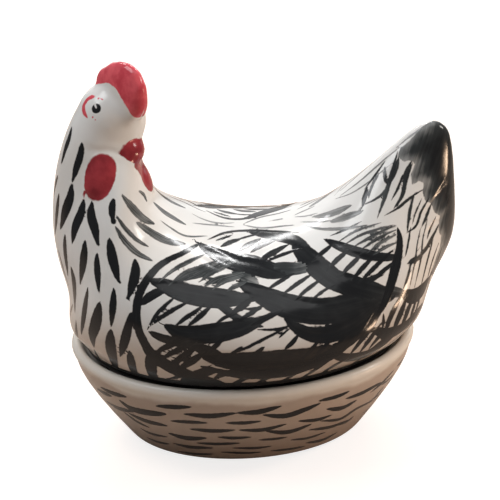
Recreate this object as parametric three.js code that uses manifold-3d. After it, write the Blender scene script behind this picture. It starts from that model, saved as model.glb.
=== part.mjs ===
// A covered dish in the form of a sitting hen: an oval glazed bowl, and a hollow hen that is its lid.
// Millimetres, +Z up. The origin is the middle of the bowl's underside, the tail points along +X,
// and the face looks back over the -Y side.

import * as THREE from 'three';
import { mergeVertices } from 'three/addons/utils/BufferGeometryUtils.js';
import Module from 'manifold-3d';

const wasm = await Module();
wasm.setup();

// Bowl
const bowlHalfLength = 110;
const bowlHalfWidth = 83;
const bowlHeight = 71.7;
const bowlWall = 6.4;
const bowlFloor = 6.5;
const rimRollRadius = 3.9;
const rimRollTuck = 2.4;
const rimRollStartDegrees = -60;
const undersideHalfLength = 70.3;
const baseCornerRadius = 9.3;
const baseCornerDegrees = 57.5;
const wallTangentShare = 0.88;
const gallerySeatWidth = 5.2;
const gallerySeatDepth = 6.4;

// Hen lid
const seatGap = 0.3;
const footSideGap = 1.4;
const henRise = 159.5;
const bellyLip = 1.2;
const footCollar = 8.5;
const henWall = 6;
const wingRelief = 2.6;
const wingReachShare = 0.647;
const wingDropShare = 0.276;
const wingMiddleShare = 0.176;
const wingRiseShare = 0.25;
const wingEdgeShare = 0.3;
const hollowStartShare = 0.15;
const hollowEndShare = 0.88;

// Head, in its own frame: +X towards the beak, measured from the neck's axis. Places are shares of the hen's
// half length, rise and half width.
const neckAxisShare = -0.725;
const headTurnDegrees = -48;
const faceRadius = 20.6;
const faceHeight = 21.5;
const faceForward = 3;
const faceRiseShare = 0.874;
const beakLength = 12;
const beakRadius = 10.5;
const beakBreadthShare = 1.14;
const beakTaper = 1.35;
const beakRiseShare = 0.767;
const beakStart = 13.4;
const beakDrop = 4;
const combThickness = 13;
const combHeight = 30;
const combRiseShare = 0.906;
const combReach = 34;
const wattleHeight = 30;
const wattleWidth = 20;
const wattleThickness = 10;
const wattleLeanDegrees = 25;
const wattleTiltDegrees = 9;
const nearWattleTurnDegrees = -54;
const farWattleTurnDegrees = 36;
const nearWattleShare = 0.335;
const nearWattleRiseShare = 0.697;
const farWattleShare = 0.208;
const farWattleRiseShare = 0.655;

// Facets
const bowlSegments = 76;
const cornerSteps = 3;
const wallSteps = 5;
const rollSteps = 5;
const insideSteps = 8;
const henRings = 62;
const henSideSteps = 24;
const hollowRings = 34;
const hollowSideSteps = 13;
const combRings = 12;
const combSideSteps = 7;
const ballSegments = 20;
const beakSteps = 7;
const collarSegments = 64;

const cutOverrun = 4;
const collarLap = 0.5;
const weldTolerance = 1e-4;
const curveTension = 0.5;
const railStep = 1e-3;

// Sizes that both pieces share
const seatHeight = bowlHeight - gallerySeatDepth;
const rimInset = 2 * rimRollRadius;
const footHalfLength = bowlHalfLength - rimInset - footSideGap;
const footHalfWidth = bowlHalfWidth - rimInset - footSideGap;
const bellyHalfLength = footHalfLength + bellyLip;
const bellyHalfWidth = footHalfWidth + bellyLip;
const footHeight = seatHeight + seatGap;

// Stations of the hen from tail tip to crown. A station is an oval section between a lower and an upper rail:
// [lower x, lower rise, upper x, upper rise, half width, widest level, roundness]. They are shares of the hen's
// half length, rise and half width and of the station's own height; roundness is the power of the oval's lower half.
const henStationShares = [
  [1.175, 0.81, 1.175, 0.81, 0, 0.5, 2],
  [1.262, 0.755, 1.062, 0.787, 0.075, 0.5, 2],
  [1.302, 0.557, 0.921, 0.711, 0.17, 0.48, 2],
  [1.3, 0.35, 0.784, 0.626, 0.35, 0.45, 1.95],
  [1.165, 0.187, 0.632, 0.539, 0.61, 0.43, 1.95],
  [1.098, 0.062, 0.48, 0.471, 0.79, 0.42, 1.9],
  [1, 0, 0.352, 0.445, 0.88, 0.4, 1.85],
  [0.87, 0, 0.197, 0.428, 0.97, 0.37, 1.95],
  [0.5, 0, -0.02, 0.418, 1.09, 0.34, 2],
  [0, 0, -0.215, 0.438, 1.13, 0.35, 2],
  [-0.5, 0, -0.392, 0.498, 1.05, 0.39, 2],
  [-0.87, 0, -0.484, 0.554, 0.9, 0.45, 1.9],
  [-1, 0, -0.52, 0.608, 0.82, 0.47, 1.9],
  [-1.066, 0.062, -0.545, 0.664, 0.735, 0.48, 1.9],
  [-1.052, 0.187, -0.557, 0.727, 0.63, 0.49, 1.95],
  [-1.095, 0.332, -0.553, 0.777, 0.51, 0.5, 2],
  [-1.107, 0.476, -0.544, 0.827, 0.38, 0.5, 2],
  [-1.068, 0.651, -0.534, 0.88, 0.31, 0.5, 2],
  [-1, 0.789, -0.544, 0.934, 0.283, 0.5, 2],
  [-0.92, 0.893, -0.593, 0.977, 0.245, 0.5, 2],
  [-0.845, 0.955, -0.682, 0.998, 0.165, 0.5, 2],
  [-0.76, 0.992, -0.76, 0.992, 0, 0.5, 2],
];

// Stations of the comb from its front tip to its back, with the same columns: from its root to its edge, as
// shares of its reach, its height and its thickness.
const combStationShares = [
  [0.7, -0.12, 0.7, -0.12, 0, 0.45, 2],
  [0.55, -0.25, 0.92, 0.06, 0.36, 0.4, 2],
  [0.5, -0.2, 1.01, 0.3, 0.5, 0.35, 2],
  [0.46, -0.1, 1.02, 0.66, 0.54, 0.33, 2],
  [0.42, 0, 0.82, 0.99, 0.54, 0.33, 2],
  [0.34, 0.15, 0.5, 1.03, 0.52, 0.33, 2],
  [0.22, 0.25, 0.22, 0.97, 0.5, 0.33, 2],
  [0.1, 0.3, 0.06, 0.85, 0.46, 0.35, 2],
  [-0.03, 0.3, -0.13, 0.74, 0.42, 0.4, 2],
  [-0.13, 0.42, -0.16, 0.42, 0, 0.45, 2],
];

const glazeWhite = new THREE.Color(0.9, 0.88, 0.84);
const glazeCream = new THREE.Color(0.84, 0.8, 0.74);

function glaze(colour) {
  return new THREE.MeshStandardMaterial({ color: colour, roughness: 0.12, metalness: 0 });
}

// A closed mesh as a solid that can be joined and cut
function solidOf(geometry) {
  const bare = geometry.index ? geometry.toNonIndexed() : geometry.clone();
  bare.deleteAttribute('normal');
  bare.deleteAttribute('uv');
  const merged = mergeVertices(bare, weldTolerance);
  const corners = merged.index.array;
  const kept = [];
  for (let i = 0; i < corners.length; i += 3) {
    const [a, b, c] = [corners[i], corners[i + 1], corners[i + 2]];
    if (a !== b && b !== c && c !== a) kept.push(a, b, c);
  }
  const mesh = new wasm.Mesh({
    numProp: 3,
    vertProperties: new Float32Array(merged.attributes.position.array),
    triVerts: new Uint32Array(kept),
  });
  return new wasm.Manifold(mesh);
}

function geometryOf(solid) {
  const mesh = solid.getMesh();
  const geometry = new THREE.BufferGeometry();
  geometry.setAttribute('position', new THREE.BufferAttribute(new Float32Array(mesh.vertProperties), 3));
  geometry.setIndex(new THREE.BufferAttribute(new Uint32Array(mesh.triVerts), 1));
  geometry.computeVertexNormals();
  return geometry;
}

// Rings of equal length, each a closed loop of points, skinned into one closed mesh
function skin(rings) {
  const around = rings[0].length;
  const positions = rings.flat().flatMap((point) => [point.x, point.y, point.z]);
  const faces = [];
  for (let ring = 0; ring < rings.length - 1; ring += 1) {
    for (let i = 0; i < around; i += 1) {
      const next = (i + 1) % around;
      const a = ring * around + i;
      const b = ring * around + next;
      faces.push(a, a + around, b, b, a + around, b + around);
    }
  }
  const geometry = new THREE.BufferGeometry();
  geometry.setAttribute('position', new THREE.Float32BufferAttribute(positions, 3));
  geometry.setIndex(faces);
  return geometry;
}

function smoothThrough(points) {
  return new THREE.CatmullRomCurve3(points, false, 'catmullrom', curveTension);
}

// The rails of a table of stations: the lower, the upper with the half width as its y, and the section's form
function railsOf(shares, lengthScale, riseScale, widthScale) {
  const lower = shares.map((row) => new THREE.Vector3(row[0] * lengthScale, 0, row[1] * riseScale));
  const upper = shares.map((row) => new THREE.Vector3(row[2] * lengthScale, row[4] * widthScale, row[3] * riseScale));
  const form = shares.map((row) => new THREE.Vector3(row[5], row[6], 0));
  return {
    lower: smoothThrough(lower),
    upper: smoothThrough(upper),
    form: smoothThrough(form),
  };
}

// One section: up one side from the lower rail to the upper rail and down the other
function section(low, high, halfWidth, form, footWidth, steps) {
  const height = low.distanceTo(high);
  const widest = form.x * height;
  const roundness = form.y;
  const cut = halfWidth > 0 ? Math.min(1, footWidth / halfWidth) : 0;
  const lowerReach = widest / Math.max(1 - cut ** roundness, weldTolerance) ** (1 / roundness);
  const start = Math.asin(cut ** (roundness / 2));
  const along = new THREE.Vector3().subVectors(high, low).normalize();
  const side = [];
  for (let i = 0; i <= steps; i += 1) {
    const angle = start + ((Math.PI - start) * i) / steps;
    const lowerHalf = angle < Math.PI / 2;
    const power = lowerHalf ? 2 / roundness : 1;
    const reach = lowerHalf ? -lowerReach : height - widest;
    const up = i === 0 ? 0 : widest + reach * Math.abs(Math.cos(angle)) ** power;
    const out = i === steps ? 0 : halfWidth * Math.sin(angle) ** power;
    side.push(low.clone().addScaledVector(along, up).setY(out));
  }
  const mirrored = side.slice(0, -1).reverse().map((point) => new THREE.Vector3(point.x, -point.y, point.z));
  return [...side, ...mirrored];
}

// The hollow's rails lie one wall inside the hen's own
function inwardOf(curve, t, side) {
  const before = curve.getPoint(Math.max(0, t - railStep));
  const after = curve.getPoint(Math.min(1, t + railStep));
  return new THREE.Vector3(after.z - before.z, 0, before.x - after.x).normalize().multiplyScalar(side);
}

function footWidthAt(x, halfLength, halfWidth) {
  return halfWidth * Math.sqrt(Math.max(0, 1 - (x / halfLength) ** 2));
}

function stationRings(shares, sizes, ringCount, steps) {
  const rails = railsOf(shares, sizes.length, sizes.rise, sizes.width);
  const rings = [];
  for (let ring = 0; ring <= ringCount; ring += 1) {
    const t = ring / ringCount;
    const low = rails.lower.getPoint(t);
    const high = rails.upper.getPoint(t);
    const form = rails.form.getPoint(t);
    const halfWidth = Math.max(0, high.y);
    const standing = low.z <= 0;
    low.setZ(Math.max(0, low.z));
    high.setY(0);
    const footWidth = standing && sizes.foot ? footWidthAt(low.x, sizes.length, sizes.foot) : 0;
    rings.push(section(low, high, halfWidth, form, footWidth, steps));
  }
  return rings;
}

function hollowRingsOf(shares, sizes) {
  const rails = railsOf(shares, sizes.length, sizes.rise, sizes.width);
  const rings = [];
  for (let ring = 0; ring <= hollowRings; ring += 1) {
    const t = hollowStartShare + ((hollowEndShare - hollowStartShare) * ring) / hollowRings;
    const low = rails.lower.getPoint(t);
    const high = rails.upper.getPoint(t);
    const form = rails.form.getPoint(t);
    const closing = ring === 0 || ring === hollowRings;
    const halfWidth = high.y - henWall;
    const standing = low.z <= 0;
    high.setY(0).addScaledVector(inwardOf(rails.upper, t, -1), henWall);
    if (standing) {
      const inside = (sizes.length - henWall) / sizes.length;
      low.set(low.x * inside, 0, 0);
    } else {
      low.addScaledVector(inwardOf(rails.lower, t, 1), henWall);
    }
    const footWidth = standing ? footWidthAt(low.x, sizes.length - henWall, sizes.foot - henWall) : 0;
    if (closing) {
      const middle = low.clone().lerp(high, form.x);
      rings.push(section(middle, middle, 0, form, 0, hollowSideSteps));
    } else {
      rings.push(section(low, high, halfWidth, form, footWidth, hollowSideSteps));
    }
  }
  return rings;
}

// How far a place on the hen's side stands proud as part of the folded wing
function wingSwell(x, rise) {
  const along = x / bellyHalfLength - wingMiddleShare;
  const up = rise / henRise - wingRiseShare;
  const away = Math.hypot(along / wingReachShare, up / wingDropShare);
  return wingRelief * THREE.MathUtils.smoothstep((1 - away) / wingEdgeShare, 0, 1);
}

function henBody() {
  const sizes = { length: bellyHalfLength, rise: henRise, width: bellyHalfWidth, foot: bellyHalfWidth };
  const rings = stationRings(henStationShares, sizes, henRings, henSideSteps);
  for (const point of rings.flat()) {
    point.y += Math.sign(point.y) * wingSwell(point.x, point.z);
  }
  const outside = solidOf(skin(rings));
  const hollow = solidOf(skin(hollowRingsOf(henStationShares, sizes)));
  const mouth = ovalBlock(footHalfLength - henWall, footHalfWidth - henWall, -footCollar - cutOverrun, collarLap);
  return { outside, hollow: hollow.add(mouth) };
}

// Moulded forms of the head, each built along the head's own +X and set at its place
function placedOnHead(geometry, turnDegrees, forward, rise) {
  const turn = THREE.MathUtils.degToRad(headTurnDegrees + turnDegrees);
  geometry.translate(forward, 0, 0);
  geometry.rotateZ(turn);
  geometry.translate(neckAxisShare * bellyHalfLength, 0, rise);
  return solidOf(geometry);
}

function ball(halfX, halfY, halfZ) {
  const sphere = new THREE.SphereGeometry(1, ballSegments, ballSegments / 2);
  sphere.rotateX(Math.PI / 2);
  sphere.rotateZ(Math.PI / ballSegments);
  sphere.scale(halfX, halfY, halfZ);
  return sphere;
}

function face() {
  return placedOnHead(ball(faceRadius, faceRadius, faceHeight), 0, faceForward, faceRiseShare * henRise);
}

function beak() {
  const outline = [new THREE.Vector2(0, -beakRadius)];
  for (let i = 0; i <= beakSteps; i += 1) {
    const angle = (Math.PI / 2) * (1 - i / beakSteps);
    outline.push(new THREE.Vector2(beakRadius * Math.sin(angle) ** beakTaper, beakLength * Math.cos(angle)));
  }
  const cone = new THREE.LatheGeometry(outline, ballSegments);
  cone.rotateZ(-Math.PI / 2);
  cone.scale(1, beakBreadthShare, 1);
  cone.rotateY(Math.atan2(beakDrop, beakLength));
  return placedOnHead(cone, 0, beakStart, beakRiseShare * henRise);
}

function comb() {
  const sizes = { length: combReach, rise: combHeight, width: combThickness, foot: 0 };
  const rails = railsOf(combStationShares, sizes.length, sizes.rise, sizes.width);
  const rings = [];
  for (let ring = 0; ring <= combRings; ring += 1) {
    const t = ring / combRings;
    const high = rails.upper.getPoint(t);
    const halfThickness = Math.max(0, high.y);
    const low = rails.lower.getPoint(t);
    rings.push(section(low, high.setY(0), halfThickness, rails.form.getPoint(t), 0, combSideSteps));
  }
  return placedOnHead(skin(rings), 0, 0, combRiseShare * henRise);
}

// A flap that lies along the slope of the neck
function wattle(turnDegrees, forwardShare, riseShare) {
  const flap = ball(wattleThickness / 2, wattleWidth / 2, wattleHeight / 2);
  flap.rotateX(THREE.MathUtils.degToRad(Math.sign(turnDegrees) * wattleTiltDegrees));
  flap.rotateY(THREE.MathUtils.degToRad(-wattleLeanDegrees));
  return placedOnHead(flap, turnDegrees, forwardShare * bellyHalfWidth, riseShare * henRise);
}

// An upright oval block: the collar that stands inside the bowl's rim, and the hole through it
function ovalBlock(halfLength, halfWidth, bottom, top) {
  const oval = new THREE.Shape();
  oval.absellipse(0, 0, halfLength, halfWidth, 0, 2 * Math.PI);
  const block = new THREE.ExtrudeGeometry(oval, {
    depth: top - bottom,
    bevelEnabled: false,
    curveSegments: collarSegments,
  });
  block.translate(0, 0, bottom);
  return solidOf(block);
}

function henLid() {
  const { outside, hollow } = henBody();
  const nearWattle = wattle(nearWattleTurnDegrees, nearWattleShare, nearWattleRiseShare);
  const farWattle = wattle(farWattleTurnDegrees, farWattleShare, farWattleRiseShare);
  const collar = ovalBlock(footHalfLength, footHalfWidth, -footCollar, collarLap);
  const headForms = [collar, face(), beak(), comb(), nearWattle, farWattle];
  const joined = headForms.reduce((solid, form) => solid.add(form), outside);
  const mesh = new THREE.Mesh(geometryOf(joined.subtract(hollow)), glaze(glazeWhite));
  mesh.name = 'hen_lid';
  mesh.position.z = footHeight + footCollar;
  return mesh;
}

// The bowl's section at its long end, from the middle of the underside round the rim to the middle of the floor
function bowlOutline() {
  const corner = new THREE.Path();
  const cornerEnd = THREE.MathUtils.degToRad(baseCornerDegrees - 90);
  corner.absarc(undersideHalfLength, baseCornerRadius, baseCornerRadius, -Math.PI / 2, cornerEnd, false);
  const wallFoot = corner.getPoint(1);
  const wallTop = new THREE.Vector2(bowlHalfLength - rimRollTuck, bowlHeight - rimInset);
  const tangent = new THREE.Vector2(-Math.sin(cornerEnd), Math.cos(cornerEnd));
  const reach = wallTangentShare * wallFoot.distanceTo(wallTop);
  const belly = wallFoot.clone().addScaledVector(tangent, reach);
  const wall = new THREE.QuadraticBezierCurve(wallFoot, belly, wallTop);
  const roll = new THREE.Path();
  const rollStart = THREE.MathUtils.degToRad(rimRollStartDegrees);
  roll.absarc(bowlHalfLength - rimRollRadius, bowlHeight - rimRollRadius, rimRollRadius, rollStart, Math.PI, false);
  const outer = [new THREE.Vector2(0, 0), ...corner.getPoints(cornerSteps), ...wall.getPoints(wallSteps).slice(1)];
  const rim = roll.getPoints(rollSteps);
  const seatX = bowlHalfLength - rimInset;
  const seat = [
    new THREE.Vector2(seatX, seatHeight),
    new THREE.Vector2(seatX - gallerySeatWidth, seatHeight),
  ];
  const insideFoot = new THREE.Vector2(undersideHalfLength, bowlFloor);
  const insideCorner = new THREE.Vector2(wallFoot.x, bowlFloor);
  const insideWall = new THREE.Vector2(belly.x - bowlWall, belly.y);
  const inside = new THREE.CubicBezierCurve(seat[1], insideWall, insideCorner, insideFoot);
  const inner = inside.getPoints(insideSteps).slice(1);
  return [...outer, ...rim, ...seat, ...inner, new THREE.Vector2(0, bowlFloor)];
}

// A round bowl drawn in to the oval: the wall keeps its thickness, the flat floor is narrowed in proportion
function drawnToOval(geometry) {
  const drawIn = bowlHalfLength - bowlHalfWidth;
  const positions = geometry.attributes.position;
  for (let i = 0; i < positions.count; i += 1) {
    const x = positions.getX(i);
    const y = positions.getY(i);
    const radius = Math.hypot(x, y);
    const narrowed = radius - drawIn * Math.min(1, radius / undersideHalfLength);
    positions.setY(i, radius > 0 ? (y / radius) * narrowed : 0);
  }
  return geometry;
}

function nestDish() {
  const round = new THREE.LatheGeometry(bowlOutline(), bowlSegments);
  round.rotateX(Math.PI / 2);
  const mesh = new THREE.Mesh(geometryOf(solidOf(drawnToOval(round))), glaze(glazeCream));
  mesh.name = 'nest_dish';
  return mesh;
}

const henOnNest = new THREE.Group();
henOnNest.add(nestDish(), henLid());

export default henOnNest;
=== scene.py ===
# A hand-painted pottery hen on her nest dish: an oval dish, and a hollow hen as its lid
from functools import partial, partialmethod
from math import atan2, cos, pi, radians, sin

import bmesh
import bpy
import numpy as np
from mathutils import Matrix, Vector
from mathutils.bvhtree import BVHTree


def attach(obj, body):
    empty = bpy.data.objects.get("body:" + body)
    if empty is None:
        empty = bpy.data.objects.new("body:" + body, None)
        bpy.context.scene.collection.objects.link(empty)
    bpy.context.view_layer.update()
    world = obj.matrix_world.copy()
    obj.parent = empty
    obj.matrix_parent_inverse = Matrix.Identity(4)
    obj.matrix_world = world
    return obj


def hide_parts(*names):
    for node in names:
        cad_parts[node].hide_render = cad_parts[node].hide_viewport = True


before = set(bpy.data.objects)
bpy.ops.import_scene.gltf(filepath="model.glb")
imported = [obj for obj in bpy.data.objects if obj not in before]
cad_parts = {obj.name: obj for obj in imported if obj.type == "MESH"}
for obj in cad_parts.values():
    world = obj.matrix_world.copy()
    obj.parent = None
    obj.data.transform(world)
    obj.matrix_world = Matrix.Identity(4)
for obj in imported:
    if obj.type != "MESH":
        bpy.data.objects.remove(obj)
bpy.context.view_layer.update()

MM = 0.001

# Camera, fitted to the rim and to the dish's outline in the photograph
AZIMUTH = radians(-2.9)
ELEVATION = radians(24.6)
ROLL = radians(-1.86)
DISTANCE = 669 * MM
FOCAL_PIXELS = 1076
FRAME_PIXELS = 500
SENSOR_WIDTH = 36
CLIP_START = 10 * MM
TARGET = Vector((6.1, 0, 123.3)) * MM


def spun(first, second, angle):
    """Two coordinates or axes, turned by an angle in the plane that they span."""
    return first * cos(angle) + second * sin(angle), second * cos(angle) - first * sin(angle)


def camera_axes():
    """Right, up, forward and the place of the camera."""
    back = Vector((sin(AZIMUTH) * cos(ELEVATION), -cos(AZIMUTH) * cos(ELEVATION), sin(ELEVATION)))
    right = (-back).cross(Vector((0, 0, 1))).normalized()
    return *spun(right, right.cross(-back), ROLL), -back, TARGET + back * DISTANCE


RIGHT, UP, FORWARD, CAMERA = camera_axes()


def new_object(name, data):
    made = bpy.data.objects.new(name, data)
    bpy.context.scene.collection.objects.link(made)
    return made


def add_camera():
    data = bpy.data.cameras.new("photo_camera")
    data.sensor_width = SENSOR_WIDTH
    data.lens = FOCAL_PIXELS / FRAME_PIXELS * SENSOR_WIDTH
    data.clip_start = CLIP_START
    camera = new_object("photo_camera", data)
    turn = Matrix((RIGHT, UP, -FORWARD)).transposed().to_4x4()
    camera.matrix_world = Matrix.Translation(CAMERA) @ turn
    bpy.context.scene.camera = camera


add_camera()

# Sizes shared with the solids
RIM_HEIGHT = 71.7 * MM
HEN_ZERO = 74.1 * MM
HEN_RISE = 159.5 * MM
HEAD_TURN = radians(-48)
NECK_AXIS = np.array((-73.95, 0, 0)) * MM
FOOT_CUT = 66.6 * MM

# Brush strokes: [width, x, y, x, y, ...] in pixels of the photograph's frame.
# The far side mirrors them.
NECK_DABS = [
    [7, 82, 142, 80, 156, 76, 169, 72, 183], [8, 72, 184, 70, 198, 65, 212, 60, 230],
    [8, 84, 199, 81, 213, 75, 228, 72, 244], [9, 92, 202, 91, 216, 95, 230, 98, 246],
    [7, 114, 198, 112, 208, 113, 223], [5, 72, 126, 69, 138, 65, 150, 61, 165],
    [4, 58, 175, 55, 186, 53, 200], [4.5, 59, 193, 57, 210, 55, 236],
    [5, 65, 234, 65, 250, 68, 277], [3, 58, 249, 63, 268, 69, 287], [7, 85, 240, 84, 256, 80, 284],
    [6.5, 97, 253, 97, 268, 99, 293], [10, 109, 238, 112, 256, 119, 283],
    [10, 135, 259, 135, 275, 128, 299], [6.5, 71, 267, 74, 283, 75, 314],
    [6, 88, 288, 85, 306, 81, 335], [7, 114, 288, 113, 304, 111, 327],
    [9, 100, 302, 96, 322, 92, 336, 94, 348], [4, 73, 304, 70, 316, 72, 334],
    [4, 76, 320, 77, 336, 82, 350], [8.5, 111, 329, 111, 350, 117, 374],
    [8, 131, 312, 127, 332, 120, 357], [6.5, 130, 351, 132, 366, 137, 380],
    [8, 150, 352, 151, 368, 154, 384], [2.5, 83, 343, 89, 353, 97, 364],
    [3, 94, 349, 100, 360, 110, 371],
]
THROAT_STROKES = [
    [7, 122, 195, 132, 207, 143, 218, 155, 224], [3.5, 139, 191, 144, 195, 147, 202],
    [4.5, 116, 215, 125, 228, 137, 240, 149, 247], [6, 115, 226, 124, 240, 137, 253, 153, 261],
    [7.5, 136, 222, 152, 233, 168, 241, 186, 244], [6, 153, 202, 163, 211, 174, 218, 186, 225],
    [2, 160, 220, 171, 228, 186, 236, 208, 236],
]
# Round drops where the brush was lifted: [radius, x, y]
DROPS = [
    [2.0, 98.3, 244.5], [2.0, 119.6, 282], [1.9, 127.6, 298], [1.3, 99.4, 292], [2.8, 113.4, 221.6],
    [1.2, 111, 326], [1.1, 80.3, 283.5], [1.1, 72, 243.5], [1.3, 122.3, 195.5], [1.2, 139.2, 191.4],
]
# The eye's pupil: (x, y, radius)
EYE_PUPIL = (96.2, 108.4, 5.0)
EYE_GLINT = [1.7, 94.8, 102.5, 95.4, 105.6, 96.6, 109]
EYE_ARC = [3.4, 95, 96, 88, 99, 83.5, 106, 84.5, 113, 88, 118.5]
EYE_TICKS = [
    [1.5, 97.5, 99, 99.5, 98], [1.5, 100.3, 98.2, 103.2, 100.3], [1.3, 102.4, 100.2, 102.8, 99],
    [1.8, 92, 117, 93.4, 117.4], [1.2, 95, 119, 95.6, 120.2],
]
WATTLE_DRIP = [2.4, 85.4, 190, 83.6, 196, 82.4, 200.5]
BACK_STROKES = [
    [1.6, 154, 185, 172, 196, 196, 205, 238, 212], [1.5, 157, 190, 172, 204, 190, 215, 208, 218],
    [2, 223, 217, 246, 220, 266, 221, 284, 219], [1.6, 200, 209, 220, 214, 241, 215],
    [2, 256, 214, 280, 215, 296, 212, 312, 207], [2, 192, 223, 212, 225, 235, 227],
    [2.2, 243, 225, 262, 228, 284, 226, 296, 225], [1.2, 205, 207, 240, 208, 290, 206],
    [1.4, 268, 207, 300, 203, 330, 194, 350, 184], [1.6, 294, 217, 306, 216, 318, 213],
    [6, 312, 217, 330, 214, 352, 205], [6.5, 330, 222, 346, 217, 363, 211],
    [1.6, 300, 222, 320, 222, 333, 220], [3, 305, 226, 325, 229, 350, 228, 368, 225],
    [1.2, 335, 199, 352, 193, 370, 181, 392, 163], [1.6, 340, 196, 360, 181, 384, 160, 400, 147],
    [1.6, 396, 148, 412, 135, 428, 124, 437, 119],
]
WING_OUTLINE = [
    [4, 202, 242, 181, 254, 164, 263, 156, 270],
    [8.5, 186, 250.5, 164, 262.5, 152, 273, 142, 288, 137, 305, 137, 322, 142, 339.5, 152, 356.5,
     166, 367],
    [11, 140, 328, 149, 351, 166, 365, 186, 374, 204, 379, 222, 382],
    [3.4, 207, 240, 226, 232.5, 249, 230.5, 275, 231.5, 300, 232.5],
    [9, 397.5, 227, 400, 240, 398.5, 254, 395.5, 268, 391, 284, 385, 302, 376, 318],
    [9, 200, 366, 226, 373, 250, 375.5, 285, 373.5, 312, 366, 338, 356],
]
WING_FEATHERS = [
    [21, 150, 280, 164, 285, 182, 291.5, 204, 296.5, 228, 298, 254, 299],
    [9, 139, 305, 151, 296, 168, 287],
    [17, 199, 243.5, 211, 251, 228, 259.5, 248, 266, 268, 270.5, 290, 276],
    [19, 236, 255.5, 252, 264, 268, 270, 284, 275], [11, 250, 232, 268, 234.5, 288, 238, 310, 247],
    [22, 294, 243, 308, 257, 322, 271, 340, 283, 366, 291],
    [24, 322, 270, 342, 282, 362, 290, 394, 297],
    [11, 324, 239, 342, 247, 360, 253, 380, 257, 400, 257],
    [27, 239, 281, 254, 290.5, 272, 300, 292, 307.5, 314, 311, 336, 309.5, 358, 304, 386, 297],
    [17, 284, 318, 296, 328, 312, 334.5, 330, 334, 348, 327.5, 364, 317, 384, 300],
    [20, 164, 325, 180, 333, 200, 334.5, 222, 332, 242, 327.5, 266, 318],
    [9, 148, 331.5, 163, 338.5, 184, 343.5, 206, 343],
    [8.5, 198, 285, 210, 297, 222, 306.5, 236, 317, 250, 323.5, 264, 327],
    [21, 200, 355, 222, 361, 250, 363, 280, 362, 306, 357, 334, 346],
    [11, 190, 345, 204, 350, 222, 355],
    [10.5, 262, 370, 290, 366, 318, 358, 342, 346, 360, 332, 375, 314, 392, 291],
    [10.5, 329, 353.5, 347, 358, 366, 354.5, 382, 344, 400, 328],
    [10, 369, 328, 386, 333.5, 403, 327.5, 415, 315.5, 424, 302],
    [10, 398, 292.5, 413, 296.5, 423, 289, 429, 277],
]
WING_SMEARS = [
    [8, 176, 281, 190, 276, 204, 272, 218, 268], [6, 204, 284, 218, 280, 232, 278, 246, 274],
    [13, 262, 270, 280, 268, 298, 268, 316, 261], [9, 380, 290, 392, 291, 406, 294],
    [9, 234, 272, 246, 277, 258, 283],
]
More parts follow.
